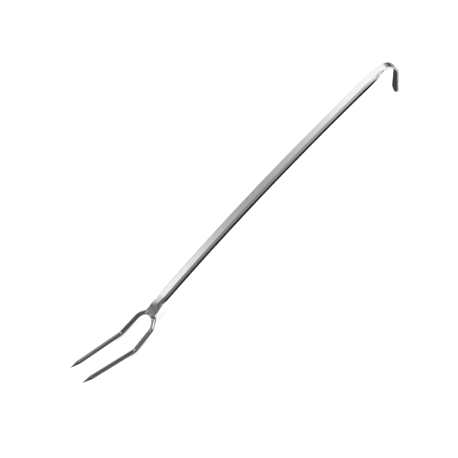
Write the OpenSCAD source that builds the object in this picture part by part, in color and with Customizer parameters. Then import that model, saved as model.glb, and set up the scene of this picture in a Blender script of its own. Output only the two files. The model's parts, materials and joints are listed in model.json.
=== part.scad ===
// Two-prong meat fork: a stamped strip handle with a hook, and a bent wire with two points.
// Millimetres. The fork lies on its two elbows and the tip of its hook, length along X.

/* [Shaft] */
// Straight distance between the two ends of the bowed shaft
shaft_len = 333; // [240:1:420]
// Height of the shaft's bow over that distance
bow_rise = 4.9; // [3:0.05:9]
// Width over the turned-down flanges
shaft_w = 14.6; // [13:0.1:16]
// Thickness of the strip, everywhere
sheet_t = 2.4; // [1.8:0.1:2.8]
// Depth of the shaft from its face to the flange edges
flange_h = 5; // [3.8:0.1:6]
// Outer radius of the bends between face and flanges
shoulder_r = 3; // [2.9:0.1:3.6]

/* [Neck] */
// Width of the neck, where the channel opens out flat
neck_w = 15.6; // [14.5:0.1:18]
// Angle by which the neck dips from the shaft
neck_dip = 13.5; // [8:0.5:18]
// Length over which the neck widens from the shaft
neck_widening = 14; // [8:1:17]
// Radius of that dip, at the face
neck_dip_r = 52; // [40:1:70]
// Straight ramp after the dip
neck_ramp = 6.5; // [5:0.5:12]
// Angle by which the pad levels out again
pad_lift = 13.5; // [8:0.1:18]
// Radius of that bend, at the face
pad_lift_r = 12; // [8:1:20]
// Length of the flat pad that lies on the wire
pad_len = 6.3; // [5.5:0.1:8]
// How far the pad stops short of the wire's inner side
pad_setback = 0.7; // [0:0.1:0.8]
// Radius of the pad's two corners
pad_corner_r = 3; // [1:0.5:5]

/* [Hook] */
// Length over which the strip bends down gently before the hook
hook_lead = 25; // [20:1:40]
// Angle of that gentle bend
hook_lead_turn = 8; // [3:0.5:10]
// Width of the strip round the hook
hook_w = 9.8; // [9:0.1:12.8]
// Length over which the strip narrows to the hook
hook_taper = 8; // [8:1:20]
// Inner radius of the hook, on the bar that it hangs from
hook_r = 11.3; // [8:0.5:14]
// Angle through which the strip turns
hook_turn = 121.6; // [110:1:140]
// Length of the hook's leg, up to the middle of its round end
hook_leg = 20.8; // [12:0.1:30]
// Width of the leg's round end
hook_end_w = 12.2; // [11:0.1:18]
// Distance before the hook at which the flanges have run out
flange_stop = 5.5; // [4:0.5:8]
// Length over which the flanges run out
flange_fade = 17.5; // [8:1:20]

/* [Wire] */
// Diameter of the round wire
wire_d = 5.5; // [4.5:0.1:6]
// Radius of the arch, at the middle of the wire
arch_r = 15.95; // [14:0.1:20]
// Straight shank on each side, from the arch to the elbow's corner
shank_len = 26; // [15:0.1:40]
// Angle by which each shank splays outwards
shank_splay = 3; // [0:0.1:6]
// Radius of each elbow, at the middle of the wire
elbow_r = 15; // [8:1:25]
// Length of each tine, from the elbow's corner to the point
tine_len = 69.8; // [45:0.1:120]
// Angle by which the tines rise from the shanks
tine_lift = 22.6; // [15:0.1:35]
// Angle by which each tine leans inwards
tine_toe_in = 1.8; // [0:0.1:4]
// Length of the ground point
point_len = 12.5; // [6:0.5:20]
// Radius of the blunted tip
tip_r = 0.35; // [0.2:0.05:0.6]

/* [Joint] */
// Depth of the flat pressed into the top of the arch
coin_depth = 0.7; // [0.5:0.05:1]
// Length of that flat beyond each side of the neck
coin_margin = 0.6; // [0.2:0.1:2]
// Diameter of each plug weld
weld_d = 2.4; // [1.8:0.1:2.5]
// Distance between the two welds
weld_gap = 7.2; // [5:0.1:7.4]
// Height of the weld's crown over the pad
weld_crown = 0.3; // [0.2:0.05:0.5]
// Clearance round each weld in its hole
weld_clearance = 0.05; // [0.02:0.01:0.1]

/* [Hidden] */
$fn = 96;
bow_fn = 2880;
bend_fn = 360;
corner_fn = 72;
steel = [0.74, 0.74, 0.75];
dark_steel = [0.55, 0.55, 0.57];
weld_steel = [0.62, 0.61, 0.62];
reach = 200;

// Each bend is fuller than the lengths that run into it by the seam, and they lap inside it
seam = 0.01;
lap = 0.2;

bow_r = (pow(shaft_len / 2, 2) + pow(bow_rise, 2)) / (2 * bow_rise);
bow_half = asin(shaft_len / 2 / bow_r);
bow_degrees = 180 / (PI * bow_r);
hook_lead_r = hook_lead * 180 / (PI * hook_lead_turn);
hook_face_r = hook_r + sheet_t;
hook_end_r = hook_end_w / 2;
wire_r = wire_d / 2;

// A pose in the fork's own side view: [forward, up, heading], headings in degrees
function ahead(p, d) = [p[0] + d * cos(p[2]), p[1] + d * sin(p[2]), p[2]];
function beside(p, d) = [p[0] - d * sin(p[2]), p[1] + d * cos(p[2]), p[2]];
function turned(p, a) = [p[0], p[1], p[2] + a];
function bent_down(p, r, a) = beside(turned(beside(p, -r), -a), r);
function bent_up(p, r, a) = beside(turned(beside(p, r), a), -r);

// Either end of the shaft, seen looking out along it
shaft_end_pose = [shaft_len / 2, -bow_rise, -bow_half];
neck_ramp_pose = ahead(bent_down(shaft_end_pose, neck_dip_r, neck_dip), neck_ramp);
pad_end_pose = ahead(bent_up(neck_ramp_pose, pad_lift_r, pad_lift), pad_len);
apex_pose = beside(ahead(pad_end_pose, pad_setback - wire_r), -(sheet_t + wire_r - coin_depth));
hook_start_pose = bent_down(shaft_end_pose, hook_lead_r, hook_lead_turn);
hook_centre = beside(hook_start_pose, -hook_face_r);
hook_tip_pose = ahead(bent_down(hook_start_pose, hook_face_r, hook_turn), hook_leg + hook_end_r);

// The tine's direction from a frame whose X runs along its own shank
tine_dir = [
    cos(tine_toe_in) * cos(tine_lift) * cos(shank_splay) - sin(tine_toe_in) * sin(shank_splay),
    -cos(tine_toe_in) * cos(tine_lift) * sin(shank_splay) - sin(tine_toe_in) * cos(shank_splay),
    cos(tine_toe_in) * sin(tine_lift)
];
elbow_turn = acos(tine_dir[0]);
elbow_roll = atan2(tine_dir[2], tine_dir[1]);
elbow_setback = elbow_r * tan(elbow_turn / 2);

// Where each shank starts, and the elbow's corner, centre and tine tip, in the arch's frame
shank_start = [arch_r * (1 - sin(shank_splay)), arch_r * cos(shank_splay)];
elbow_centre = [
    shank_start[0] + (shank_len - elbow_setback) * cos(shank_splay)
        - elbow_r * cos(elbow_roll) * sin(shank_splay),
    elbow_r * sin(elbow_roll)
];
tip_centre = [
    shank_start[0] + shank_len * cos(shank_splay)
        + (tine_len - tip_r) * cos(tine_toe_in) * cos(tine_lift),
    (tine_len - tip_r) * cos(tine_toe_in) * sin(tine_lift)
];
elbow_centre_pose = beside(ahead(apex_pose, elbow_centre[0]), elbow_centre[1]);
tip_centre_pose = beside(ahead(apex_pose, tip_centre[0]), tip_centre[1]);

// How far the elbow reaches below its centre when the fork is tilted by an angle
function elbow_axis_up(tilt) =
    sin(elbow_roll) * sin(shank_splay) * sin(apex_pose[2] - tilt)
        + cos(elbow_roll) * cos(apex_pose[2] - tilt);
function elbow_drop(tilt) = elbow_r * sqrt(1 - pow(elbow_axis_up(tilt), 2)) + wire_r;

// The tilt at which the elbows and the hook's tip touch the same surface
span_x = hook_tip_pose[0] + elbow_centre_pose[0];
span_z = hook_tip_pose[1] - elbow_centre_pose[1];
function next_tilt(tilt) =
    asin(-elbow_drop(tilt) / norm([span_x, span_z])) - atan2(span_z, span_x);
lie_tilt = next_tilt(next_tilt(next_tilt(4)));

rest_z = hook_tip_pose[0] * sin(lie_tilt) + hook_tip_pose[1] * cos(lie_tilt);
hook_reach = hook_centre[0] * cos(lie_tilt) - hook_centre[1] * sin(lie_tilt) + hook_face_r;
tine_reach = tip_centre_pose[0] * cos(lie_tilt) + tip_centre_pose[1] * sin(lie_tilt) + tip_r;
mid_x = (hook_reach - tine_reach) / 2;

// Laying the fork down, and standing at one end of its shaft looking outwards
module laid_down() {
    translate([-mid_x, 0, -rest_z])
        rotate([0, -lie_tilt, 0])
            children();
}

module at_hook_end() {
    translate([0, 0, -bow_r])
        rotate([0, bow_half, 0])
            translate([0, 0, bow_r])
                children();
}

module at_neck_end() {
    rotate([0, 0, 180])
        at_hook_end()
            children();
}

// Moving past a bend whose radius is measured at the face
module past_down(r, a) {
    translate([0, 0, -r])
        rotate([0, a, 0])
            translate([0, 0, r])
                children();
}

module past_up(r, a) {
    past_down(-r, -a)
        children();
}

// Carrying a cross-section straight ahead, round a bend down or up, or along the whole bow
module run_ahead(d) {
    rotate([90, 0, 90])
        linear_extrude(d)
            children();
}

module run_down(r, a) {
    translate([0, 0, -r])
        rotate([90, 0, 0])
            rotate([0, 0, 90 - a])
                rotate_extrude(angle = a, $fn = bend_fn)
                    translate([r, 0])
                        rotate(-90)
                            children();
}

module run_up(r, a) {
    translate([0, 0, r])
        rotate([90, 0, 0])
            rotate([0, 0, -90])
                rotate_extrude(angle = a, $fn = bend_fn)
                    translate([r, 0])
                        rotate(90)
                            children();
}

module run_bow() {
    overlap = lap * bow_degrees;
    translate([0, 0, -bow_r])
        rotate([90, 0, 0])
            rotate([0, 0, 90 - bow_half - overlap])
                rotate_extrude(angle = 2 * (bow_half + overlap), $fn = bow_fn)
                    translate([bow_r, 0])
                        rotate(-90)
                            children();
}

// Cross-sections, face at the top and centred; shy is how far they stay inside the full size
module rounded_top(w, h, r) {
    intersection() {
        translate([-w / 2, -h])
            square([w, h]);
        union() {
            translate([-w / 2 + r, -h])
                square([w - 2 * r, h]);
            translate([-w / 2, -h - r])
                square([w, h]);
            for (side = [-1, 1])
                translate([side * (w / 2 - r), -r])
                    circle(r = r, $fn = corner_fn);
        }
    }
}

module flat_section(w, shy) {
    translate([-w / 2 + shy, -sheet_t + shy])
        square([w - 2 * shy, sheet_t - 2 * shy]);
}

module face_section(shy) {
    intersection() {
        flat_section(shaft_w, shy);
        translate([0, -shy])
            rounded_top(shaft_w - 2 * shy, 2 * shoulder_r, shoulder_r - shy);
    }
}

module flange_section(shy) {
    difference() {
        translate([0, -shy])
            rounded_top(shaft_w - 2 * shy, flange_h - 2 * shy, shoulder_r - shy);
        translate([0, -sheet_t + shy])
            rounded_top(shaft_w - 2 * sheet_t + 2 * shy, flange_h, shoulder_r - sheet_t + shy);
        translate([-shaft_w / 2, -sheet_t / 2])
            square([shaft_w, sheet_t]);
    }
}

// Both edges of the strip and their rounded shoulders, spreading by an angle from an end
module shoulders(half_w, spread, proud) {
    intersection() {
        shoulder(half_w, spread, proud);
        mirror([0, 1, 0])
            shoulder(half_w, spread, proud);
    }
}

module shoulder(half_w, spread, proud) {
    translate([0, half_w + proud, proud])
        rotate([0, 0, spread])
            translate([-reach, 0, 0])
                run_ahead(2 * reach)
                    shoulder_corner();
}

module shoulder_corner() {
    translate([-reach, -reach])
        square([reach, reach - shoulder_r]);
    translate([-reach, -reach])
        square([reach - shoulder_r, reach]);
    translate([-shoulder_r, -shoulder_r])
        circle(r = shoulder_r, $fn = corner_fn);
}

// The bowed shaft, one channel from the neck to the hook's lead
module shaft() {
    run_bow() {
        face_section(3 * seam);
        flange_section(3 * seam);
    }
}

// The hook's lead: it bends down gently and narrows while its flanges run out
module lead() {
    narrowing = atan2(shaft_w - hook_w + 10 * seam, 2 * hook_taper);
    overlap = lap * hook_lead_turn / hook_lead;
    intersection() {
        union() {
            run_down(hook_lead_r, hook_lead_turn + overlap)
                face_section(seam);
            difference() {
                run_down(hook_lead_r, hook_lead_turn - overlap)
                    flange_section(2 * seam);
                past_down(hook_lead_r, hook_lead_turn)
                    flange_run_out();
            }
        }
        past_down(hook_lead_r, hook_lead_turn)
            shoulders(hook_w / 2 - 4 * seam, -narrowing, 3 * seam);
    }
}

// What the flanges lose before the hook, down from a plane that slopes back from the strip
module flange_run_out() {
    sag = pow(flange_stop + flange_fade, 2) / (2 * hook_lead_r);
    translate([-flange_stop, 0, -sheet_t])
        rotate([0, -atan2(flange_h - sheet_t + sag, flange_fade), 0])
            translate([-reach, -shaft_w, -reach])
                cube([2 * reach, 2 * shaft_w, reach]);
}

// The neck: a dip and a ramp, over which the shoulders and flanges fade, and a level pad
module neck() {
    spread = atan2(neck_w - shaft_w, 2 * neck_widening);
    intersection() {
        dip_and_ramp()
            flat_section(neck_w, $shy);
        shoulders(shaft_w / 2, spread, 3 * seam);
    }
    difference() {
        dip_and_ramp()
            flange_section($shy);
        translate([-1, -shaft_w, -flange_h + 1.5 * seam - reach])
            cube([reach, 2 * shaft_w, reach]);
    }
    past_down(neck_dip_r, neck_dip)
        translate([neck_ramp, 0, 0]) {
            run_up(pad_lift_r, pad_lift)
                flat_section(neck_w, seam);
            past_up(pad_lift_r, pad_lift)
                pad();
        }
}

module dip_and_ramp() {
    run_down(neck_dip_r, neck_dip) {
        $shy = seam;
        children();
    }
    past_down(neck_dip_r, neck_dip)
        translate([-lap, 0, 0])
            run_ahead(neck_ramp + 2 * lap) {
                $shy = 2 * seam;
                children();
            }
}

module pad() {
    difference() {
        translate([0, 0, -sheet_t])
            linear_extrude(sheet_t - 2 * seam)
                pad_outline(neck_w / 2 - 2 * seam);
        at_arch_from_pad()
            for (side = [-1, 1])
                at_weld(side)
                    translate([0, 0, -sheet_t])
                        cylinder(d = weld_d + 2 * weld_clearance, h = 3 * sheet_t);
    }
}

module pad_outline(half_w) {
    translate([-lap, -half_w])
        square([pad_len + lap - pad_corner_r, 2 * half_w]);
    translate([-lap, -half_w + pad_corner_r])
        square([pad_len + lap, 2 * half_w - 2 * pad_corner_r]);
    for (side = [-1, 1])
        translate([pad_len - pad_corner_r, side * (half_w - pad_corner_r)])
            circle(r = pad_corner_r);
}

// The hook: a bend, and a leg that flares to a round end
module hook() {
    intersection() {
        run_down(hook_face_r, hook_turn)
            flat_section(hook_w, 0);
        shoulders(hook_w / 2, 0, 5 * seam);
    }
    past_down(hook_face_r, hook_turn)
        translate([0, 0, -sheet_t + seam])
            linear_extrude(sheet_t - 2 * seam)
                leg_outline();
}

module leg_outline() {
    polygon([
        [-lap, -hook_w / 2 + 2 * seam],
        [hook_leg, -hook_end_r + 2 * seam],
        [hook_leg, hook_end_r - 2 * seam],
        [-lap, hook_w / 2 - 2 * seam]
    ]);
    translate([hook_leg, 0])
        circle(r = hook_end_r);
}

module handle() {
    color(steel)
        laid_down() {
            shaft();
            at_neck_end()
                neck();
            at_hook_end() {
                lead();
                past_down(hook_lead_r, hook_lead_turn)
                    hook();
            }
        }
}

// The arch's frame, from the pad and from the neck end: X towards the tines, Z up
module at_arch_from_pad() {
    translate([pad_len + pad_setback - wire_r, 0, -(sheet_t + wire_r - coin_depth)])
        children();
}

module at_arch() {
    at_neck_end()
        past_down(neck_dip_r, neck_dip)
            translate([neck_ramp, 0, 0])
                past_up(pad_lift_r, pad_lift)
                    at_arch_from_pad()
                        children();
}

// The top of a weld's seat on the arch, on one side
module at_weld(side) {
    back = arch_r - sqrt(pow(arch_r, 2) - pow(weld_gap / 2, 2));
    translate([back, side * weld_gap / 2, wire_r - coin_depth])
        children();
}

module bent_wire(r, a) {
    rotate_extrude(angle = a, $fn = bend_fn)
        translate([r, 0])
            circle(r = wire_r, $fn = corner_fn);
}

module straight_wire(from, to) {
    translate([from, 0, 0])
        rotate([0, 90, 0])
            cylinder(r = wire_r - seam, h = to - from);
}

module arch() {
    difference() {
        translate([arch_r, 0, 0])
            rotate([0, 0, 90 + shank_splay])
                bent_wire(arch_r, 180 - 2 * shank_splay);
        translate([-wire_d, -neck_w / 2 - coin_margin, wire_r - coin_depth])
            cube([arch_r, neck_w + 2 * coin_margin, wire_d]);
    }
}

// One shank, its elbow and its tine, on the side towards +Y
module shank_and_tine() {
    translate([shank_start[0], shank_start[1], 0])
        rotate([0, 0, shank_splay])
            rotate([elbow_roll, 0, 0]) {
                straight_wire(-lap, shank_len - elbow_setback + lap);
                translate([shank_len - elbow_setback, elbow_r, 0])
                    rotate([0, 0, -90])
                        bent_wire(elbow_r, elbow_turn);
                translate([shank_len, 0, 0])
                    rotate([0, 0, elbow_turn])
                        pointed_tine();
            }
}

module pointed_tine() {
    straight_r = wire_r - seam;
    rotate([0, 90, 0]) {
        rotate_extrude($fn = corner_fn)
            polygon([
                [0, elbow_setback - lap],
                [straight_r, elbow_setback - lap],
                [straight_r, tine_len - point_len],
                [tip_r, tine_len - tip_r],
                [0, tine_len - tip_r]
            ]);
        translate([0, 0, tine_len - tip_r])
            sphere(r = tip_r);
    }
}

module tine_wire() {
    color(dark_steel)
        laid_down()
            at_arch() {
                arch();
                shank_and_tine();
                mirror([0, 1, 0])
                    shank_and_tine();
            }
}

// Each weld fills its hole from the arch to the face, with a low round crown
module weld() {
    crown_r = (pow(weld_d / 2, 2) + pow(weld_crown, 2)) / (2 * weld_crown);
    cylinder(d = weld_d, h = sheet_t);
    intersection() {
        cylinder(d = weld_d, h = 2 * sheet_t);
        translate([0, 0, sheet_t + weld_crown - crown_r])
            sphere(r = crown_r);
    }
}

module neck_welds() {
    color(weld_steel)
        laid_down()
            at_arch()
                for (side = [-1, 1])
                    at_weld(side)
                        weld();
}

handle();
tine_wire();
neck_welds();
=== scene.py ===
"""Dresses a two-prong meat fork and stands it in a pale studio.

The handle is cut as a flat blank, folded to its channel and bent along its side view. The wire
is one curve with a thickness along it, pressed flat under the neck. The welds keep their own
solids. Sizes are in millimetres, and a mesh is in metres.
"""

import json
import logging
import math
from dataclasses import dataclass, field
from enum import Enum

import bmesh
import bpy
import numpy as np
from bpy.types import GeometryNodeTree, Material, Mesh, Node, NodeOutputs, NodeTree, Object
from bpy.types import NodeSocket as Socket
from mathutils import Matrix, Vector


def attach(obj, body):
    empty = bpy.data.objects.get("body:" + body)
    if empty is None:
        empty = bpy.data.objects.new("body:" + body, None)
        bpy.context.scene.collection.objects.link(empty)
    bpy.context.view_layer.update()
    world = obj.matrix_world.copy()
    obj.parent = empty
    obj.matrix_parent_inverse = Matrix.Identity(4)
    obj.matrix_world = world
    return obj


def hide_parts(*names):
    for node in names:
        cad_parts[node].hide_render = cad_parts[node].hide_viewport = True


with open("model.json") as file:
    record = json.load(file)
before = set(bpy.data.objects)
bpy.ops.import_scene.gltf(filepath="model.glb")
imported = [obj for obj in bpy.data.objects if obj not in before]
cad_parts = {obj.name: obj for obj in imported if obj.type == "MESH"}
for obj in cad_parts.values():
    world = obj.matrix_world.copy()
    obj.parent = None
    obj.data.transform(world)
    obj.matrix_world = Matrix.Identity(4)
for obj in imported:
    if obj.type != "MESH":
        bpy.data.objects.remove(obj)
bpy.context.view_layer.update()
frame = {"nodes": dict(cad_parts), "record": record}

LOG = logging.getLogger("meat_fork")
MM = 0.001
BODY = "root"
MERGE_GAP = 1e-6

Span = tuple[float, float]
Colour = tuple[float, float, float]
Stops = tuple[Span, ...]
Route = list[tuple[Vector, float]]


@dataclass(frozen=True)
class ForkSizes:
    """The fork's driving sizes, in millimetres and degrees.

    The coin is the flat pressed into the wire under the neck, and lie_tilt is the angle at which
    the fork lies on its elbows and the tip of its hook.
    """

    shaft_len: float = 333.0
    bow_rise: float = 4.9
    shaft_w: float = 14.6
    sheet_t: float = 2.4
    flange_h: float = 5.0
    shoulder_r: float = 3.0
    neck_w: float = 15.6
    neck_dip: float = 13.5
    neck_widening: float = 14.0
    neck_dip_r: float = 52.0
    neck_ramp: float = 6.5
    pad_lift_r: float = 12.0
    pad_len: float = 6.3
    pad_setback: float = 0.7
    pad_corner_r: float = 3.0
    hook_lead: float = 25.0
    hook_lead_turn: float = 8.0
    hook_w: float = 9.8
    hook_taper: float = 8.0
    hook_r: float = 11.3
    hook_turn: float = 121.6
    hook_leg: float = 20.8
    hook_end_w: float = 12.2
    wire_d: float = 5.5
    arch_r: float = 15.95
    shank_len: float = 26.0
    shank_splay: float = 3.0
    elbow_r: float = 15.0
    tine_len: float = 69.8
    tine_lift: float = 22.6
    tine_toe_in: float = 1.8
    point_len: float = 12.5
    tip_r: float = 0.35
    coin_depth: float = 0.7
    coin_margin: float = 0.6
    lie_tilt: float = 4.3686

    @property
    def bow_half(self) -> float:
        """Half the angle of the shaft's bow, in radians."""
        half = self.shaft_len / 2
        return math.asin(2 * half * self.bow_rise / (half**2 + self.bow_rise**2))

    @property
    def bow_r(self) -> float:
        """Radius of the shaft's bow, at the face."""
        return self.shaft_len / 2 / math.sin(self.bow_half)

    @property
    def hook_face_r(self) -> float:
        """Outer radius of the hook."""
        return self.hook_r + self.sheet_t

    @property
    def wire_r(self) -> float:
        """Radius of the round wire."""
        return self.wire_d / 2


@dataclass(frozen=True)
class Pose:
    """A place and a heading in the side view, in millimetres and radians."""

    x: float
    z: float
    heading: float

    def ahead(self, distance: float) -> "Pose":
        """Returns the pose moved along its heading."""
        return Pose(
            self.x + distance * math.cos(self.heading),
            self.z + distance * math.sin(self.heading),
            self.heading,
        )

    def beside(self, distance: float) -> "Pose":
        """Returns the pose moved up, square to its heading."""
        return Pose(
            self.x - distance * math.sin(self.heading),
            self.z + distance * math.cos(self.heading),
            self.heading,
        )


@dataclass(frozen=True)
class Run:
    """A stretch of the strip's face, straight or turning steadily; up is a positive turn."""

    length: float
    turn: float = 0.0

    @classmethod
    def bend(cls, radius: float, turn: float) -> "Run":
        """Returns a run that turns by an angle in radians on a radius."""
        return cls(radius * abs(turn), turn)

    def pose(self, start: Pose, along: float) -> Pose:
        """Returns the pose at a distance along the run from its start."""
        if not self.turn:
            return start.ahead(along)
        rate = self.turn / self.length
        heading = start.heading + rate * along
        return Pose(
            start.x + (math.sin(heading) - math.sin(start.heading)) / rate,
            start.z - (math.cos(heading) - math.cos(start.heading)) / rate,
            heading,
        )


def smooth(values: np.ndarray, low: float, high: float) -> np.ndarray:
    """Eases from 0 at low to 1 at high.

    Args:
        values: Where to read the step.
        low: Where it starts.
        high: Where it ends.

    Returns:
        The eased values, from 0 to 1.
    """
    t = np.clip((values - low) / (high - low), 0.0, 1.0)
    return t * t * (3.0 - 2.0 * t)


class SideView:
    """The strip's face seen from the side, from the neck's pad to the end of the hook."""

    least_gap: float = 0.02

    def __init__(self, sizes: ForkSizes) -> None:
        """Lays the runs end to end and puts the hook's centre on its mount."""
        dip = math.radians(sizes.neck_dip)
        self.sizes = sizes
        self.pad = Run(sizes.pad_len)
        self.pad_bend = Run.bend(sizes.pad_lift_r, dip)
        self.ramp = Run(sizes.neck_ramp)
        self.dip = Run.bend(sizes.neck_dip_r, -dip)
        self.bow = Run.bend(sizes.bow_r, -2 * sizes.bow_half)
        self.lead = Run(sizes.hook_lead, -math.radians(sizes.hook_lead_turn))
        self.hook = Run.bend(sizes.hook_face_r, -math.radians(sizes.hook_turn))
        self.leg = Run(sizes.hook_leg + sizes.hook_end_w / 2)
        self.runs = [
            self.pad, self.pad_bend, self.ramp, self.dip,
            self.bow, self.lead, self.hook, self.leg,
        ]
        self.marks = np.concatenate([[0.0], np.cumsum([run.length for run in self.runs])])
        loose = self._starts(Pose(0.0, 0.0, sizes.bow_half + math.radians(sizes.lie_tilt)))
        centre = loose[self.runs.index(self.hook)].beside(-sizes.hook_face_r)
        mount = frame["record"]["mounts"][0]["pos_m"]
        first = Pose(mount[0] / MM - centre.x, mount[2] / MM - centre.z, loose[0].heading)
        self.starts = self._starts(first)

    def _starts(self, first: Pose) -> list[Pose]:
        """Returns the pose at which each run starts."""
        poses = [first]
        for run in self.runs[:-1]:
            poses.append(run.pose(poses[-1], run.length))
        return poses

    def mark(self, run: Run) -> float:
        """Returns the distance along the face at which a run starts."""
        return float(self.marks[self.runs.index(run)])

    @property
    def length(self) -> float:
        """Length of the blank."""
        return float(self.marks[-1])

    def stations(self, step: float, step_turn: float, first: float, last: float) -> list[float]:
        """Chooses where the strip gets a row of points.

        Args:
            step: The longest distance between rows, in millimetres.
            step_turn: The most that the strip turns between rows, in radians.
            first: Where the rows start.
            last: Where they end.

        Returns:
            Distances along the face, rising.
        """
        found = [first, last]
        for start, run in zip(self.marks, self.runs):
            count = max(math.ceil(run.length / step), math.ceil(abs(run.turn) / step_turn))
            found += [start + run.length * i / count for i in range(count + 1)]
        inside = sorted({round(s, 4) for s in found if first <= s <= last})
        return [
            s for i, s in enumerate(inside) if not i or s - inside[i - 1] > self.least_gap
        ]

    def poses(self, along: np.ndarray) -> tuple[np.ndarray, np.ndarray, np.ndarray]:
        """Returns x, z and heading for many distances along the face."""
        index = np.searchsorted(self.marks, along, side="right") - 1
        index = np.clip(index, 0, len(self.runs) - 1)
        found = [
            self.runs[i].pose(self.starts[i], s - self.marks[i])
            for i, s in zip(index.ravel(), along.ravel())
        ]
        table = np.array([(p.x, p.z, p.heading) for p in found])
        return table[:, 0], table[:, 1], table[:, 2]


@dataclass(frozen=True)
class Rim:
    """The blank's edge: rounded over at the face, and sheared below it.

    The support is how far past each round a line of points holds the flat beside it.
    """

    face_round: float = 0.55
    back_round: float = 0.28
    support: float = 0.12
    steps: int = 4

    def levels(self, thickness: float) -> list[tuple[float, float]]:
        """Returns (inset, depth) of each line of points round the edge."""
        angles = [math.pi / 2 * i / self.steps for i in range(self.steps + 1)]
        top = [
            (self.face_round * (1 - math.sin(a)), self.face_round * (1 - math.cos(a)))
            for a in angles
        ]
        back = [
            (self.back_round * (1 - math.cos(a)), thickness - self.back_round * (1 - math.sin(a)))
            for a in angles
        ]
        face = self.face_round + self.support
        rear = self.back_round + self.support
        side = [(0.0, face), (0.0, thickness - rear)]
        return [(face, 0.0)] + top + side + back + [(rear, thickness)]


@dataclass
class StripHandle:
    """The handle: one strip with a neck, a bowed channel and a hook.

    The openings are the lengths over which the fold opens out flat, the face_inset keeps the
    face just inside the CAD solid, and the neck shade's edge is how far the neck is rougher and
    darkened by painted shade. The least bend and turn stand in for none where the strip is flat.
    """

    sizes: ForkSizes
    side: SideView
    rim: Rim = field(default_factory=Rim)
    node: str = "handle"
    slot: str = "strip_steel"
    row_step: float = 3.0
    row_turn: float = math.radians(2.5)
    flat_columns: int = 5
    fold_columns: int = 12
    flange_columns: int = 2
    corner_rows: int = 10
    flange_limits: tuple[float, float] = (0.1, 2.2)
    hook_narrowing_in: float = 5.0
    neck_opening: float = 17.0
    hook_opening: float = 12.0
    opening_reach: float = 2.0
    face_inset: float = 0.05
    neck_shade_edge: float = 18.0
    neck_shade_fade: float = 9.0
    end_fullness: float = 0.985
    least_bend: float = 1e-3
    least_turn: float = 1e-4

    def plan_half(self, s: np.ndarray) -> np.ndarray:
        """Returns half the strip's width in plan."""
        z = self.sizes
        shaft = self.side.mark(self.side.bow)
        hook = self.side.mark(self.side.hook)
        leg = self.side.mark(self.side.leg)
        neck = (z.neck_w - z.shaft_w) / 2 * (1 - smooth(s, shaft - z.neck_widening, shaft))
        narrow = (z.shaft_w - z.hook_w) / 2
        narrow = narrow * smooth(s, hook - z.hook_taper, hook + self.hook_narrowing_in)
        flare = (z.hook_end_w - z.hook_w) / 2 * np.clip((s - leg) / z.hook_leg, 0.0, 1.0)
        return z.shaft_w / 2 + neck - narrow + flare

    def folding(self, s: np.ndarray) -> np.ndarray:
        """Returns how far the strip is folded, from 0 where it is flat to 1 on the shaft."""
        shaft = self.side.mark(self.side.bow)
        hook = self.side.mark(self.side.hook)
        opening = smooth(s, shaft - self.neck_opening, shaft + self.opening_reach)
        closing = smooth(s, hook - self.hook_opening, hook + self.opening_reach)
        return opening * (1 - closing)

    def side_depth(self, s: np.ndarray) -> np.ndarray:
        """Returns the depth of the strip's side, whose lower edge runs on straight at both ends."""
        z = self.sizes
        dip = np.maximum(self.side.mark(self.side.bow) - s, 0.0)
        past = np.maximum(dip - self.side.dip.length, 0.0)
        lead = np.maximum(s - self.side.mark(self.side.lead), 0.0)
        fall = (dip - past) ** 2 / (2 * z.neck_dip_r) + past * math.tan(math.radians(z.neck_dip))
        fall = fall + (z.flange_h - z.sheet_t) * (lead / z.hook_lead) ** 2
        return np.maximum(z.flange_h - fall, z.sheet_t)

    def section(self, s: np.ndarray) -> tuple[np.ndarray, np.ndarray, np.ndarray, np.ndarray]:
        """Returns the fold's angle, arc, flange and half flat at distances along the face."""
        z = self.sizes
        half = self.plan_half(s)
        angle = math.pi / 2 * self.folding(s)
        arc = half * (z.shoulder_r * math.pi / z.shaft_w)
        bent = np.maximum(angle, self.least_bend)
        radius = arc / bent
        folded = radius * (1 - np.cos(bent)) + z.sheet_t * np.cos(bent)
        flange = np.clip((self.side_depth(s) - folded) / np.sin(bent), *self.flange_limits)
        flat = half - radius * np.sin(bent) - flange * np.cos(bent)
        return angle, arc, flange, flat

    def edge(self, s: np.ndarray) -> np.ndarray:
        """Returns the blank's half width, measured round the fold."""
        _, arc, flange, flat = self.section(s)
        return flat + arc + flange

    def place(self, s: np.ndarray, q: np.ndarray, depth: np.ndarray) -> np.ndarray:
        """Folds and bends points of the flat blank to where they are on the fork.

        Args:
            s: Distances along the face.
            q: Distances from the middle, measured round the fold.
            depth: Depths below the face.

        Returns:
            The points, in metres, one per row.
        """
        angle, arc, _, flat = self.section(s)
        angle = np.maximum(angle, self.least_turn)
        radius = arc / angle
        out = np.abs(q)
        turned = np.clip((out - flat) / radius, 0.0, angle)
        past = np.maximum(out - flat - arc, 0.0)
        y = np.minimum(out, flat) + (radius - depth) * np.sin(turned) + past * np.cos(angle)
        down = radius * (1 - np.cos(turned)) + depth * np.cos(turned) + past * np.sin(angle)
        down = down + self.face_inset * (1 - depth / self.sizes.sheet_t)
        x, z, heading = self.side.poses(s)
        return MM * np.column_stack(
            [x + down * np.sin(heading), np.sign(q) * y, z - down * np.cos(heading)]
        )

    def rows(self) -> list[tuple[float, float, float]]:
        """Returns (distance, end it rounds, angle round the corner) of each row."""
        z = self.sizes
        quarter = [math.pi / 2 * i / self.corner_rows for i in range(1, self.corner_rows + 1)]
        end_r = self.end_radius()
        last = self.side.length - end_r
        body = self.side.stations(self.row_step, self.row_turn, z.pad_corner_r, last)
        return (
            [(z.pad_corner_r, -1.0, a) for a in reversed(quarter)]
            + [(s, 0.0, 0.0) for s in body]
            + [(last, 1.0, a) for a in quarter]
        )

    def end_radius(self) -> float:
        """Radius of the hook's round end, a little short of a full half circle."""
        return self.end_fullness * self.sizes.hook_end_w / 2

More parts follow.
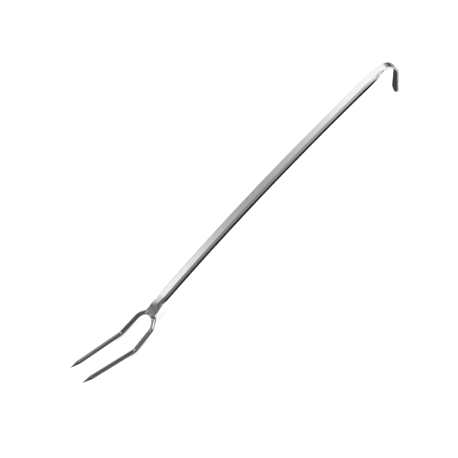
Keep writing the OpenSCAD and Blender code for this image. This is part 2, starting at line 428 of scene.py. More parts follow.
    def columns(self, s: float) -> np.ndarray:
        """Returns the columns' places across one row, as shares of its half width."""
        _, arc, flange, flat = (float(v[0]) for v in self.section(np.array([s])))
        marks = np.concatenate([
            np.linspace(0, flat, self.flat_columns + 1),
            flat + np.linspace(0, arc, self.fold_columns + 1)[1:],
            flat + arc + np.linspace(0, flange, self.flange_columns + 1)[1:],
        ])
        shares = marks / marks[-1]
        return np.concatenate([-shares[:0:-1], shares])

    def blank(self) -> tuple[np.ndarray, np.ndarray]:
        """Lays out the flat blank as levels of rows of columns.

        Returns:
            Points (level, row, column, [s, q, depth]) and the depth of each level.
        """
        levels = self.rim.levels(self.sizes.sheet_t)
        rows = self.rows()
        corner = {-1.0: self.sizes.pad_corner_r, 0.0: 0.0, 1.0: self.end_radius()}
        grid = []
        for inset, depth in levels:
            level = []
            for s, end, a in rows:
                r = corner[end]
                shrunk = r - inset if end else -inset
                at = s + end * shrunk * math.sin(a)
                half = float(self.edge(np.array([s]))[0]) - r + shrunk * math.cos(a)
                level.append([(at, share * half, depth) for share in self.columns(s)])
            grid.append(level)
        return np.array(grid), np.array([depth for _, depth in levels])

    def build(self) -> Object:
        """Makes the closed mesh of the handle.

        Returns:
            The handle's object.
        """
        grid, depths = self.blank()
        kept = self._outside(grid.shape[:3])
        flat = grid[kept]
        points = self.place(flat[:, 0], flat[:, 1], flat[:, 2])
        piece = mesh_object(self.node + "_strip", points, self._faces(kept))
        self._mark(piece.data, flat, kept, depths)
        return piece

    @staticmethod
    def _outside(shape: tuple[int, ...]) -> np.ndarray:
        """Returns which points of a solid grid lie on its outside."""
        kept = np.zeros(shape, bool)
        kept[[0, -1]] = True
        kept[:, [0, -1]] = True
        kept[:, :, [0, -1]] = True
        return kept

    @staticmethod
    def _faces(kept: np.ndarray) -> list[tuple[int, ...]]:
        """Returns the faces of the grid's six sides."""
        index = np.zeros(kept.shape, int)
        index[kept] = np.arange(kept.sum())
        faces: list[tuple[int, ...]] = []
        for axis in range(kept.ndim):
            for end in (0, -1):
                side = np.take(index, end, axis=axis)
                ring = [side[:-1, :-1], side[:-1, 1:], side[1:, 1:], side[1:, :-1]]
                faces += map(tuple, np.stack(ring, axis=-1).reshape(-1, 4).tolist())
        return faces

    def _mark(
        self, mesh: Mesh, flat: np.ndarray, kept: np.ndarray, depths: np.ndarray
    ) -> None:
        """Stores the back, the sheared edge, the neck's painted shade and the strip's flat map.

        Args:
            mesh: The handle's mesh.
            flat: The place of each of its points on the blank.
            kept: Which points of the grid those are.
            depths: The depth of each level of the grid.
        """
        # The back is rougher and darkened with painted shade.
        lower = (depths > self.sizes.sheet_t / 2)[:, None, None]
        write_attribute(mesh, "back", np.broadcast_to(lower, kept.shape)[kept])
        # The sheared edges are darkened with painted shade.
        sheared = np.zeros(kept.shape)
        sheared[self.rim.steps:-self.rim.steps] = 1.0
        write_attribute(mesh, "sheared", sheared[kept])
        # The neck, up to its edge, is rougher and darkened with painted shade.
        past_neck_shade = smooth(flat[:, 0], self.neck_shade_edge - self.neck_shade_fade, self.neck_shade_edge)
        write_attribute(mesh, "shaded_neck", 1 - past_neck_shade)
        uv = mesh.uv_layers.new(name="strip")
        corners = np.array([loop.vertex_index for loop in mesh.loops])
        uv.data.foreach_set("uv", (MM * flat[corners][:, :2]).ravel())


@dataclass
class TineWire:
    """The wire: an arch under the neck, two shanks, two elbows and two ground tines."""

    sizes: ForkSizes
    side: SideView
    node: str = "tine_wire"
    slot: str = "wire_steel"
    sides: int = 72
    ring_turn: float = math.radians(1.5)
    crease_support: float = 0.25
    tip_steps: int = 6
    tip_share: float = 0.02
    coin_fade: float = 2.2

    def __post_init__(self) -> None:
        """Finds the arch's frame from the pad that lies on it."""
        z = self.sizes
        rest = z.sheet_t + z.wire_r - z.coin_depth
        self.apex = self.side.starts[0].ahead(z.wire_r - z.pad_setback).beside(-rest)

    def half_route(self) -> Route:
        """Returns (place in the arch's frame, thickness as a share) from apex to point."""
        z = self.sizes
        splay = math.radians(z.shank_splay)
        toe = math.radians(z.tine_toe_in)
        lift = math.radians(z.tine_lift)
        shank = Vector((math.cos(splay), math.sin(splay), 0.0))
        tine = Vector((
            math.cos(toe) * math.cos(lift), -math.sin(toe), math.cos(toe) * math.sin(lift)
        ))
        arch = self._arch(math.pi / 2 - splay)
        corner = arch[-1][0] + z.shank_len * shank
        return arch + self._elbow(corner, shank, tine) + self._point(corner, tine)

    def _arch(self, swept: float) -> Route:
        """Returns the arch from its apex, through an angle in radians."""
        r = self.sizes.arch_r
        return [
            (Vector((r * (1 - math.cos(a)), r * math.sin(a), 0.0)), 1.0)
            for a in self._angles(swept)
        ]

    def _elbow(self, corner: Vector, shank: Vector, tine: Vector) -> Route:
        """Returns the bend that rounds the corner between the shank and the tine."""
        r = self.sizes.elbow_r
        turn = shank.angle(tine)
        inward = (tine - shank * shank.dot(tine)).normalized()
        centre = corner - r * math.tan(turn / 2) * shank + r * inward
        return [
            (centre + r * (shank * math.sin(a) - inward * math.cos(a)), 1.0)
            for a in self._angles(turn)
        ]

    def _point(self, corner: Vector, tine: Vector) -> Route:
        """Returns the ground cone and its small round tip."""
        z = self.sizes
        ground = z.tine_len - z.point_len
        cone = (z.tip_r / z.wire_r - 1) / (z.point_len - z.tip_r)
        route = [
            (corner + tine * (ground + past), 1 + cone * max(past, 0.0))
            for past in (-self.crease_support, 0.0, self.crease_support, z.point_len / 2)
        ]
        for a in (math.pi / 2 * i / self.tip_steps for i in range(self.tip_steps + 1)):
            reach = z.tine_len - z.tip_r * (1 - math.sin(a))
            share = max(math.cos(a), self.tip_share) * z.tip_r / z.wire_r
            route.append((corner + tine * reach, share))
        return route

    def _angles(self, turn: float) -> list[float]:
        """Splits a turn into even steps, none wider than the turn between rings."""
        count = math.ceil(turn / self.ring_turn)
        return [turn * i / count for i in range(count + 1)]

    def build(self, finish: Material) -> Object:
        """Sweeps the wire with geometry nodes and presses its flat.

        Args:
            finish: The wire's material.

        Returns:
            The wire's object.
        """
        half = self.half_route()
        route = [(p, share) for p, share in reversed(half)]
        route += [(Vector((p.x, -p.y, p.z)), share) for p, share in half[1:]]
        guide = bpy.data.meshes.new("wire_route")
        points = [MM * p for p, _ in route]
        guide.from_pydata(points, [(i, i + 1) for i in range(len(points) - 1)], [])
        write_attribute(guide, "thickness", np.array([share for _, share in route]))
        holder = bpy.data.objects.new("wire_route", guide)
        bpy.context.scene.collection.objects.link(holder)
        swept = evaluate_tree(holder, self._tree(), {
            "Wire radius": MM * self.sizes.wire_r, "Sides": self.sides, "Finish": finish,
        })
        bpy.data.objects.remove(holder)
        self._press(swept)
        self._place(swept)
        piece = bpy.data.objects.new(self.node + "_bent", swept)
        bpy.context.scene.collection.objects.link(piece)
        finish_mesh(swept, MERGE_GAP)
        return piece

    def _tree(self) -> GeometryNodeTree:
        """Returns the tree that sweeps a round section along the route."""
        tree = bpy.data.node_groups.new("wire_sweep", "GeometryNodeTree")
        inputs = {"Route": "Geometry", "Wire radius": "Float", "Sides": "Int", "Finish": "Material"}
        for name, kind in inputs.items():
            tree.interface.new_socket(name, in_out="INPUT", socket_type="NodeSocket" + kind)
        tree.interface.new_socket("Wire", in_out="OUTPUT", socket_type="NodeSocketGeometry")
        graph = Graph(tree)
        given = graph.add("NodeGroupInput")
        share = graph.add(
            "GeometryNodeInputNamedAttribute", {"data_type": "FLOAT"}, Name="thickness"
        )
        radius = graph.math("MULTIPLY", share.outputs["Attribute"], given.outputs["Wire radius"])
        curve = graph.add("GeometryNodeMeshToCurve", Mesh=given.outputs["Route"])
        ring = graph.add("GeometryNodeCurvePrimitiveCircle", Resolution=given.outputs["Sides"])
        ring.inputs["Radius"].default_value = 1.0
        tube = graph.add("GeometryNodeCurveToMesh", Curve=curve.outputs["Curve"], Scale=radius)
        graph.join(ring.outputs["Curve"], tube.inputs["Profile Curve"])
        tube.inputs["Fill Caps"].default_value = True
        real = graph.add("GeometryNodeRealizeInstances", Geometry=tube.outputs["Mesh"])
        dressed = graph.add("GeometryNodeSetMaterial", Geometry=real.outputs["Geometry"])
        graph.join(given.outputs["Finish"], dressed.inputs["Material"])
        graph.add("NodeGroupOutput", Wire=dressed.outputs["Geometry"])
        return tree

    def _press(self, mesh: Mesh) -> None:
        """Presses the flat into the arch's top, easing out past both sides of the neck."""
        z = self.sizes
        at = read_points(mesh) / MM
        flat_half = z.neck_w / 2 + z.coin_margin
        eased = smooth(np.abs(at[:, 1]), flat_half, flat_half + self.coin_fade)
        top = z.wire_r - z.coin_depth * (1 - eased)
        on_arch = at[:, 0] < z.arch_r
        at[:, 2] = np.where(on_arch, np.minimum(at[:, 2], top), at[:, 2])
        mesh.vertices.foreach_set("co", (MM * at).ravel())

    def _place(self, mesh: Mesh) -> None:
        """Moves the mesh from the arch's frame to where the wire lies."""
        at = read_points(mesh)
        tilt = self.apex.heading
        x = MM * self.apex.x - at[:, 0] * math.cos(tilt) - at[:, 2] * math.sin(tilt)
        z = MM * self.apex.z - at[:, 0] * math.sin(tilt) + at[:, 2] * math.cos(tilt)
        mesh.vertices.foreach_set("co", np.column_stack([x, at[:, 1], z]).ravel())


class Graph:
    """A node tree under construction."""

    def __init__(self, tree: NodeTree) -> None:
        """Empties the tree."""
        self.tree = tree
        tree.nodes.clear()

    def add(self, kind: str, settings: dict | None = None, **inputs: object) -> Node:
        """Adds a node and fills its inputs.

        Args:
            kind: The node's type name.
            settings: Its properties, such as an operation.
            **inputs: Socket names with underscores for spaces, and a value or a socket.

        Returns:
            The new node.
        """
        node = self.tree.nodes.new(kind)
        for name, value in (settings or {}).items():
            setattr(node, name, value)
        for name, value in inputs.items():
            self.fill(node.inputs[name.replace("_", " ")], value)
        return node

    def fill(self, socket: Socket, value: object) -> None:
        """Links a socket, or sets a plain value on it."""
        if isinstance(value, Socket):
            self.join(value, socket)
        else:
            socket.default_value = value

    def join(self, source: Socket, target: Socket) -> None:
        """Links an output to an input."""
        self.tree.links.new(source, target)

    def math(self, operation: str, *values: object) -> Socket:
        """Returns the result of a Math node on sockets or numbers."""
        node = self.tree.nodes.new("ShaderNodeMath")
        node.operation = operation
        for socket, value in zip(node.inputs, values):
            self.fill(socket, value)
        return node.outputs[0]

    def ease(self, value: Socket, low: float, high: float) -> Socket:
        """Returns a smooth step from 0 at low to 1 at high."""
        node = self.add("ShaderNodeMapRange", {"interpolation_type": "SMOOTHSTEP"}, Value=value)
        return self._ends(node, "From", low, high)

    def band(self, value: Socket, rising: Span, falling: Span) -> Socket:
        """Returns 1 between two soft edges, each given from its dark end to its bright one."""
        return self.math("MULTIPLY", self.ease(value, *rising), self.ease(value, *falling))

    def range(self, value: Socket, low: float, high: float) -> Socket:
        """Returns a value from 0 to 1 spread between two numbers."""
        return self._ends(self.add("ShaderNodeMapRange", Value=value), "To", low, high)

    def spread(self, value: Socket, low: float, high: float) -> Socket:
        """Returns where a value lies between two numbers, from 0 to 1."""
        return self._ends(self.add("ShaderNodeMapRange", Value=value), "From", low, high)

    @staticmethod
    def _ends(node: Node, side: str, low: float, high: float) -> Socket:
        """Sets one side's two ends on a Map Range node and returns its result."""
        node.inputs[side + " Min"].default_value = low
        node.inputs[side + " Max"].default_value = high
        return node.outputs["Result"]

    def mix(self, share: object, low: object, high: object) -> Socket:
        """Returns a number between two, by a share."""
        node = self.add("ShaderNodeMix", {"data_type": "FLOAT"})
        for index, value in ((0, share), (2, low), (3, high)):
            self.fill(node.inputs[index], value)
        return node.outputs[0]

    def parts(self, vector: Socket) -> NodeOutputs:
        """Returns a vector's x, y and z."""
        node = self.tree.nodes.new("ShaderNodeSeparateXYZ")
        self.join(vector, node.inputs[0])
        return node.outputs

    def attribute(self, name: str) -> Socket:
        """Returns a number stored on the mesh."""
        return self.add("ShaderNodeAttribute", {"attribute_name": name}).outputs["Fac"]

    def tint(self, share: object, low: object, high: object) -> Socket:
        """Returns a colour between two, by a share."""
        node = self.add("ShaderNodeMix", {"data_type": "RGBA"})
        for index, value in ((0, share), (6, low), (7, high)):
            self.fill(node.inputs[index], value)
        return node.outputs[2]

    def steps(self, value: object, stops: Stops) -> Socket:
        """Returns a grey level that eases through (place, level) stops."""
        node = self.add("ShaderNodeValToRGB", Fac=value)
        ramp = node.color_ramp
        ramp.interpolation = "EASE"
        while len(ramp.elements) < len(stops):
            ramp.elements.new(1.0)
        for element, (place, level) in zip(ramp.elements, stops):
            element.position = place
            element.color = (level, level, level, 1.0)
        return node.outputs["Color"]


@dataclass(frozen=True)
class SteelFinish:
    """A steel surface: its colour, its gloss and the marks that its making left.

    The grain is fine marks drawn out along one direction, given by their number per metre, and
    clouds are the uneven dulling of handling and washing. Each shade or gloss pair is what
    darkens or roughens the steel, from the least of the noise to the most.
    """

    name: str
    colour: Colour
    dull_and_shade_colour: Colour
    roughness: float
    dull_roughness: float
    grain_depth: float
    grain: tuple[float, float, float]
    grain_shade: Span = (0.93, 1.03)
    cloud_shade: Span = (0.94, 1.05)
    grain_gloss: Span = (0.8, 1.25)
    cloud_gloss: Span = (0.85, 1.2)
    bump_distance: float = 0.0001
    cloud_scale: float = 45.0
    patch_scale: float = 110.0
    patch_fade: Span = (0.5, 0.75)

    def material(self) -> Material:
        """Returns the material, with its grain across the strip or along the wire."""
        made = bpy.data.materials.new(self.name)
        made.use_nodes = True
        graph = Graph(made.node_tree)
        marks = self._marks(graph)
        clouds = self._clouds(graph)
        dull_and_shade = self._dull_and_shade(graph)
        # On the strip, the dull colour is painted shade on the back and the neck.
        plain = graph.tint(dull_and_shade, (*self.colour, 1.0), (*self.dull_and_shade_colour, 1.0))
        colour = self._stain_and_shade(graph, plain)
        dark = graph.range(marks, *self.grain_shade)
        shade = graph.math("MULTIPLY", dark, graph.range(clouds, *self.cloud_shade))
        shaded = graph.add("ShaderNodeVectorMath", {"operation": "SCALE"}, Scale=shade)
        graph.join(colour, shaded.inputs[0])
        matt = graph.range(marks, *self.grain_gloss)
        uneven = graph.math("MULTIPLY", matt, graph.range(clouds, *self.cloud_gloss))
        added = self.dull_roughness - self.roughness
        rough = graph.math("MULTIPLY_ADD", dull_and_shade, added, self.roughness)
        bump = graph.add("ShaderNodeBump", Height=marks, Strength=self.grain_depth)
        bump.inputs["Distance"].default_value = self.bump_distance
        steel = graph.add(
            "ShaderNodeBsdfPrincipled", Base_Color=shaded.outputs[0], Metallic=1.0,
            Roughness=graph.math("MULTIPLY", rough, uneven), Normal=bump.outputs["Normal"],
        )
        graph.add("ShaderNodeOutputMaterial", Surface=steel.outputs[0])
        return made

    def _pattern_place(self, graph: Graph) -> Socket:
        """Returns the coordinates that the grain follows."""
        return graph.add("ShaderNodeTexCoord").outputs["Object"]

    def _marks(self, graph: Graph) -> Socket:
        """Returns the fine grain, drawn out along one direction."""
        place = graph.add("ShaderNodeMapping", Vector=self._pattern_place(graph), Scale=self.grain)
        noise = graph.add("ShaderNodeTexNoise", Vector=place.outputs[0], Scale=1.0, Detail=4.0)
        return noise.outputs[0]

    def _clouds(self, graph: Graph) -> Socket:
        """Returns soft, uneven dulling from handling and washing."""
        place = graph.add("ShaderNodeTexCoord").outputs["Object"]
        noise = graph.add(
            "ShaderNodeTexNoise", Vector=place, Scale=self.cloud_scale, Detail=5.0, Roughness=0.6
        )
        return noise.outputs[0]

    def _stain_and_shade(self, graph: Graph, colour: Socket) -> Socket:
        """Returns the colour with its stains and painted shade; plain steel has neither."""
        return colour

    def _dull_and_shade(self, graph: Graph) -> Socket:
        """Returns where the steel is worn dull, in patches."""
        place = graph.add("ShaderNodeTexCoord").outputs["Object"]
        noise = graph.add("ShaderNodeTexNoise", Vector=place, Scale=self.patch_scale, Detail=3.0)
        return graph.ease(noise.outputs[0], *self.patch_fade)


@dataclass(frozen=True)
class StripFinish(SteelFinish):
    """The strip's satin face, and painted shade on its plain back, bare edges and neck."""

    # Painted shade: a darker colour on the sheared edges and on the neck.
    edge_shade_colour: Colour = (0.62, 0.61, 0.60)
    neck_shade_colour: Colour = (0.34, 0.335, 0.325)

    def _pattern_place(self, graph: Graph) -> Socket:
        """Returns the strip's own map, so that the grain runs across it round every bend."""
        return graph.add("ShaderNodeUVMap", {"uv_map": "strip"}).outputs[0]

    def _stain_and_shade(self, graph: Graph, colour: Socket) -> Socket:
        """Returns the colour with painted shade on the bare sheared edges and on the neck."""
        edged = graph.tint(graph.attribute("sheared"), colour, (*self.edge_shade_colour, 1.0))
        return graph.tint(graph.attribute("shaded_neck"), edged, (*self.neck_shade_colour, 1.0))

    def _dull_and_shade(self, graph: Graph) -> Socket:
        """Returns 1 on the rougher back and neck, darkened by painted shade, and 0 on the face."""
        return graph.math("MAXIMUM", graph.attribute("back"), graph.attribute("shaded_neck"))


@dataclass(frozen=True)
class WireFinish(SteelFinish):
    """The wire's polish, with points that were ground and left unpolished."""

    ground_colour: Colour = (0.20, 0.20, 0.205)
    ground_fade: Span = (0.995, 0.93)
    worn_share: float = 0.25

    def _ground(self, graph: Graph) -> Socket:
        """Returns 1 on the ground points, where the wire is thinner than its stock."""
        return graph.ease(graph.attribute("thickness"), *self.ground_fade)

    def _stain_and_shade(self, graph: Graph, colour: Socket) -> Socket:
        """Returns the colour, darker on the ground points."""
        return graph.tint(self._ground(graph), colour, (*self.ground_colour, 1.0))

    def _dull_and_shade(self, graph: Graph) -> Socket:
        """Returns the worn patches and the ground points."""
        worn = graph.math("MULTIPLY", super()._dull_and_shade(graph), self.worn_share)
        return graph.math("MAXIMUM", worn, self._ground(graph))


class Steel(Enum):
    """The finishes on the fork, by the record's slots."""

    STRIP = "strip_steel"
    WIRE = "wire_steel"
    WELD = "weld_steel"

    def finish(self) -> SteelFinish:
        """Returns the finish of the slot."""
        if self is Steel.STRIP:
            # The strip's dull colour is painted shade on its back and neck.
            return StripFinish(
                self.value, colour=(0.80, 0.79, 0.775), dull_and_shade_colour=(0.42, 0.415, 0.41),
                roughness=0.10, dull_roughness=0.42, grain_depth=0.06, grain=(2600.0, 90.0, 1.0),
            )
        if self is Steel.WIRE:
            return WireFinish(
                self.value, colour=(0.46, 0.46, 0.465), dull_and_shade_colour=(0.36, 0.36, 0.365),
                roughness=0.10, dull_roughness=0.28, grain_depth=0.04,
                grain=(160.0, 1400.0, 1400.0),
            )
        return SteelFinish(
            self.value, colour=(0.72, 0.70, 0.68), dull_and_shade_colour=(0.60, 0.59, 0.58),
            roughness=0.30, dull_roughness=0.34, grain_depth=0.08, grain=(900.0, 900.0, 900.0),
        )


@dataclass(frozen=True)
class FloorCards:
    """What the steel sees of the floor: bright cards beside the fork, and dark between them.

    Places are in metres. Each pair is an edge, from its dark end to its bright one.
    """

    dark_level: float = 0.02
    tines_edge: Span = (-0.13, -0.16)
    tines_level: float = 0.28
    back_near: Span = (0.018, 0.030)
    back_far: Span = (0.20, 0.12)
    back_right: Span = (0.0, -0.06)
    back_level: float = 0.85
    hook_left: Span = (0.212, 0.24)
    hook_right: Span = (0.37, 0.32)
    hook_front: Span = (-0.020, -0.045)
    hook_levels: Span = (0.40, 1.30)
    arch_left: Span = (-0.150, -0.146)
    arch_right: Span = (-0.134, -0.139)
    arch_front: Span = (-0.034, -0.030)
    arch_back: Span = (-0.008, -0.012)
    arch_step: Span = (-0.0150, -0.0135)
    arch_step_width: float = 0.007
    arch_level: float = 1.4

    def shade(self, graph: Graph, x: Socket, y: Socket) -> Socket:
        """Returns the floor's brightness in reflections.

        Args:
            graph: The floor's node tree.
            x: Place along the fork.
            y: Place across it, rising to the back.

        Returns:
            The brightness.
        """
        tines = graph.ease(x, *self.tines_edge)
        shade = graph.math("MULTIPLY_ADD", tines, self.tines_level, self.dark_level)
        back = graph.band(y, self.back_near, self.back_far)
        back = graph.math("MULTIPLY", back, graph.ease(x, *self.back_right))
        shade = graph.math("MULTIPLY_ADD", back, self.back_level, shade)
        hook = graph.band(x, self.hook_left, self.hook_right)
        level = graph.range(graph.ease(y, *self.hook_front), *self.hook_levels)
        shade = graph.math("MULTIPLY_ADD", hook, level, shade)
        step = graph.ease(y, *self.arch_step)
        stepped = graph.math("MULTIPLY_ADD", step, -self.arch_step_width, x)
        arch = graph.math(
            "MULTIPLY", graph.ease(x, *self.arch_left), graph.ease(stepped, *self.arch_right)
        )
        arch = graph.math("MULTIPLY", arch, graph.band(y, self.arch_front, self.arch_back))
        return graph.math("MULTIPLY_ADD", arch, self.arch_level, shade)


@dataclass(frozen=True)
class SkyPanels:
    """What the steel sees above the floor: a rear panel and a front one, shaded along x.

    A direction's rise is its angle round the fork's length, in degrees: 0 at the back horizon,
    90 overhead and 180 at the front horizon. The panels' stops are (x of the direction, level).
    """

    widest: float = 0.8
    rear: Stops = (
        (-0.62, 0.22), (-0.55, 0.28), (-0.50, 0.62), (-0.44, 0.80), (-0.33, 0.84), (-0.262, 1.20),
        (-0.218, 0.50), (-0.195, 0.41), (-0.157, 0.69), (-0.124, 1.22), (-0.05, 1.19), (0.42, 1.17),
        (0.55, 0.8), (0.68, 0.26),
    )
    front: Stops = (
        (-0.5, 0.16), (-0.32, 0.15), (-0.26, 0.30), (-0.2, 0.27), (-0.16, 0.36), (-0.12, 0.55),
        (-0.04, 0.85), (0.12, 0.90), (0.165, 0.10), (0.30, 0.10), (0.33, 0.20), (0.42, 0.8),
    )
    border_rise: float = 50.0
    border_lift: float = 9.0
    border_bend: Span = (-0.12, -0.05)
    border_blur: Span = (-4.0, 5.0)
    top_fade: Span = (55.0, 115.0)
    top_levels: Span = (0.85, 1.2)
    low_fade: Span = (168.0, 132.0)
    low_level: float = 0.25
    flank_edge: Span = (0.34, 0.42)
    flank_rise: Span = (100.0, 116.0)
    flank_level: float = 1.3

    def level(self, graph: Graph, x: Socket, rise: Socket) -> Socket:
        """Returns the sky's brightness in reflections.

        Args:
            graph: The world's node tree.
            x: A direction's part along the fork.
            rise: Its angle round the fork's length.

        Returns:
            The brightness.
        """
        rear = self._panel(graph, x, self.rear)
        flank = graph.ease(x, *self.flank_edge)
        lit = graph.math("MAXIMUM", graph.ease(rise, *self.low_fade), flank)
        front = self._panel(graph, x, self.front)
        front = graph.math("MULTIPLY", front, graph.range(lit, self.low_level, 1.0))
        top = graph.range(graph.ease(rise, *self.top_fade), *self.top_levels)
        front = graph.math("MULTIPLY", front, top)
        flank = graph.math("MULTIPLY", flank, graph.ease(rise, *self.flank_rise))
        front = graph.math("MULTIPLY_ADD", flank, self.flank_level, front)
        bend = graph.ease(x, *self.border_bend)
        border = graph.math("MULTIPLY_ADD", bend, self.border_lift, self.border_rise)
        over = graph.ease(graph.math("SUBTRACT", rise, border), *self.border_blur)
        return graph.mix(over, rear, front)

    def _panel(self, graph: Graph, x: Socket, stops: Stops) -> Socket:
        """Returns a panel's level at x."""
        width = 2 * self.widest
        placed = tuple(((at + self.widest) / width, level) for at, level in stops)
        return graph.steps(graph.spread(x, -self.widest, self.widest), placed)


@dataclass(frozen=True)
class Studio:
    """A pale floor, soft light from behind and above, and the camera.

    The view's width, its aim and the floor's drop are in millimetres; other sizes are in metres.
    """

    azimuth: float = 7.039
    elevation: float = 45.319
    roll: float = 48.403
    frame_width: float = 514.43
    aim: tuple[float, float, float] = (-10.49, -10.53, 33.35)
    camera_distance: float = 1.5
    floor_half: float = 3.0
    floor_drop: float = 0.05
    lamp_place: tuple[float, float, float] = (-0.35, 0.9, 1.5)
    lamp_size: float = 1.1
    lamp_power: float = 9.0
    floor_grey: float = 0.9
    floor_glow: float = 0.55
    sky_fill: float = 0.75
    cards: FloorCards = field(default_factory=FloorCards)
    panels: SkyPanels = field(default_factory=SkyPanels)

    def set_camera(self) -> None:
        """Aims a camera with a parallel view at the fork."""
        az, el, roll = (math.radians(v) for v in (self.azimuth, self.elevation, self.roll))
        back = Vector((
            math.sin(az) * math.cos(el), -math.cos(az) * math.cos(el), math.sin(el)
        ))
        level = Vector((math.cos(az), math.sin(az), 0.0))
        upright = back.cross(level)
        right = math.cos(roll) * level - math.sin(roll) * upright
        up = math.sin(roll) * level + math.cos(roll) * upright
        data = bpy.data.cameras.new("camera")
        data.type = "ORTHO"
        data.ortho_scale = MM * self.frame_width
        camera = bpy.data.objects.new("camera", data)
        turned = Matrix((right, up, back)).transposed().to_4x4()
        place = MM * Vector(self.aim) + self.camera_distance * back
        camera.matrix_world = Matrix.Translation(place) @ turned
        bpy.context.scene.collection.objects.link(camera)
        bpy.context.scene.camera = camera

    def set_floor(self) -> None:
        """Lays the floor: white with a soft shadow to the camera, and cards to reflections."""
        h = self.floor_half
        drop = -MM * self.floor_drop
        corners = np.array([(-h, -h, drop), (h, -h, drop), (h, h, drop), (-h, h, drop)])
        floor = mesh_object("studio_floor", corners, [(0, 1, 2, 3)])
        made = bpy.data.materials.new("pale_floor")
        made.use_nodes = True
        graph = Graph(made.node_tree)
        rays = graph.add("ShaderNodeLightPath").outputs
        grey = (self.floor_grey, self.floor_grey, self.floor_grey, 1.0)
        paint = graph.add("ShaderNodeBsdfDiffuse", Color=grey)
        glow = graph.add("ShaderNodeEmission", Strength=self.floor_glow)
        lit = graph.add("ShaderNodeAddShader")
        graph.join(paint.outputs[0], lit.inputs[0])
        graph.join(glow.outputs[0], lit.inputs[1])
        seen = graph.add("ShaderNodeMixShader", Fac=rays["Is Camera Ray"])
        graph.join(paint.outputs[0], seen.inputs[1])
        graph.join(lit.outputs[0], seen.inputs[2])
        x, y, _ = graph.parts(graph.add("ShaderNodeTexCoord").outputs["Object"])
        mirrored = graph.add("ShaderNodeEmission", Strength=self.cards.shade(graph, x, y))
        both = graph.add("ShaderNodeMixShader", Fac=self._mirrored(graph, rays))
        graph.join(seen.outputs[0], both.inputs[1])
        graph.join(mirrored.outputs[0], both.inputs[2])
        graph.add("ShaderNodeOutputMaterial", Surface=both.outputs[0])
        floor.data.materials.append(made)

    def set_sky(self) -> None:
        """Sets the sky: white to the camera, and panels to reflections."""
        world = bpy.data.worlds.new("studio")
        world.use_nodes = True
        bpy.context.scene.world = world
        graph = Graph(world.node_tree)
        rays = graph.add("ShaderNodeLightPath").outputs
        x, y, z = graph.parts(graph.add("ShaderNodeTexCoord").outputs["Generated"])
        rise = graph.math("DEGREES", graph.math("ARCTAN2", z, y))
        plain = graph.math("MAXIMUM", rays["Is Camera Ray"], self.sky_fill)
        level = self.panels.level(graph, x, rise)
        strength = graph.mix(self._mirrored(graph, rays), plain, level)
        sky = graph.add("ShaderNodeBackground", Color=(1.0, 1.0, 1.0, 1.0), Strength=strength)
        graph.add("ShaderNodeOutputWorld", Surface=sky.outputs[0])

    @staticmethod
    def _mirrored(graph: Graph, rays: NodeOutputs) -> Socket:
        """Returns 1 for rays that left a glossy surface."""
        return graph.math("MAXIMUM", rays["Is Glossy Ray"], rays["Is Transmission Ray"])

    def set_lamp(self) -> None:
        """Hangs one soft lamp behind the fork, which reflections don't see."""
        lamp = bpy.data.lights.new("soft_lamp", "AREA")
        lamp.size = self.lamp_size
        lamp.energy = self.lamp_power
        hung = bpy.data.objects.new("soft_lamp", lamp)
        place = Vector(self.lamp_place)
        turned = (-place).to_track_quat("-Z", "Y").to_matrix().to_4x4()
        hung.matrix_world = Matrix.Translation(place) @ turned
        hung.visible_glossy = False
        bpy.context.scene.collection.objects.link(hung)


def mesh_object(name: str, points: np.ndarray, faces: list[tuple[int, ...]]) -> Object:
    """Makes a closed or flat mesh with its faces outwards.

    Args:
        name: The object's name.
        points: Its points, in metres.
        faces: The corners of each face.

    Returns:
        The linked object, at the origin.
    """
    mesh = bpy.data.meshes.new(name)
    mesh.from_pydata([tuple(p) for p in points], [], faces)
    piece = bpy.data.objects.new(name, mesh)
    bpy.context.scene.collection.objects.link(piece)
    finish_mesh(mesh)
    return piece


def finish_mesh(mesh: Mesh, gap: float | None = None) -> None:
    """Turns a mesh's faces outwards and shades it smooth.

    Args:
        mesh: The mesh.
        gap: Points nearer than this are merged first, if it is given.
    """
    shaped = bmesh.new()
    shaped.from_mesh(mesh)
    if gap is not None:
        bmesh.ops.remove_doubles(shaped, verts=shaped.verts, dist=gap)
    bmesh.ops.recalc_face_normals(shaped, faces=shaped.faces)
    shaped.to_mesh(mesh)
    shaped.free()
    mesh.shade_smooth()


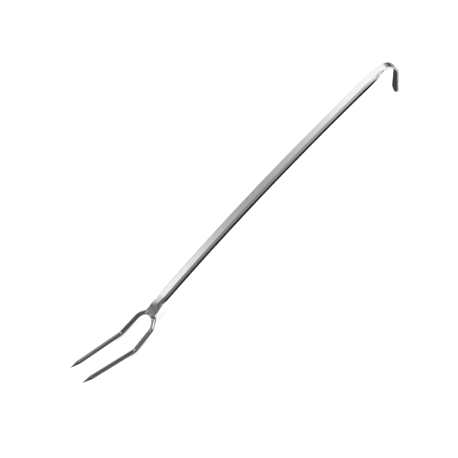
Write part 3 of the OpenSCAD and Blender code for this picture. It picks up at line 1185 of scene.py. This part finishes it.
def read_points(mesh: Mesh) -> np.ndarray:
    """Returns a mesh's points, one per row."""
    flat = np.empty(len(mesh.vertices) * 3)
    mesh.vertices.foreach_get("co", flat)
    return flat.reshape(-1, 3)


def write_attribute(mesh: Mesh, name: str, values: np.ndarray) -> None:
    """Stores one number per point under a name."""
    stored = mesh.attributes.new(name, "FLOAT", "POINT")
    stored.data.foreach_set("value", values.astype(float))


def evaluate_tree(holder: Object, tree: GeometryNodeTree, inputs: dict[str, object]) -> Mesh:
    """Runs a geometry tree on an object and keeps the result as a plain mesh.

    Args:
        holder: The object that the tree reads.
        tree: The tree.
        inputs: Values by the names of the tree's inputs.

    Returns:
        A new mesh, in the holder's space.
    """
    modifier = holder.modifiers.new(tree.name, "NODES")
    modifier.node_group = tree
    for item in tree.interface.items_tree:
        if item.item_type == "SOCKET" and item.name in inputs:
            modifier[item.identifier] = inputs[item.name]
    seen = holder.evaluated_get(bpy.context.evaluated_depsgraph_get())
    made = bpy.data.meshes.new_from_object(seen)
    holder.modifiers.remove(modifier)
    return made


def dress(piece: Object, finish: Material, node: str) -> None:
    """Gives a piece its material and says what it stands for."""
    piece.data.materials.clear()
    piece.data.materials.append(finish)
    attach(piece, BODY)
    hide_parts(node)
    LOG.info("%s: %d points, stands for %s", piece.name, len(piece.data.vertices), node)


def main() -> None:
    """Builds the fork's pieces, then the studio."""
    logging.basicConfig(level=logging.INFO, format="%(message)s")
    bpy.context.scene.view_settings.view_transform = "Standard"
    sizes = ForkSizes()
    side = SideView(sizes)
    handle = StripHandle(sizes, side)
    dress(handle.build(), Steel.STRIP.finish().material(), handle.node)
    wire = TineWire(sizes, side)
    bright = Steel.WIRE.finish().material()
    dress(wire.build(bright), bright, wire.node)
    welds = frame["nodes"]["neck_welds"]
    welds.data.materials.clear()
    welds.data.materials.append(Steel.WELD.finish().material())
    LOG.info("neck_welds: kept as they are, with a new finish")
    studio = Studio()
    studio.set_camera()
    studio.set_floor()
    studio.set_sky()
    studio.set_lamp()


if __name__ == "__main__":
    main()
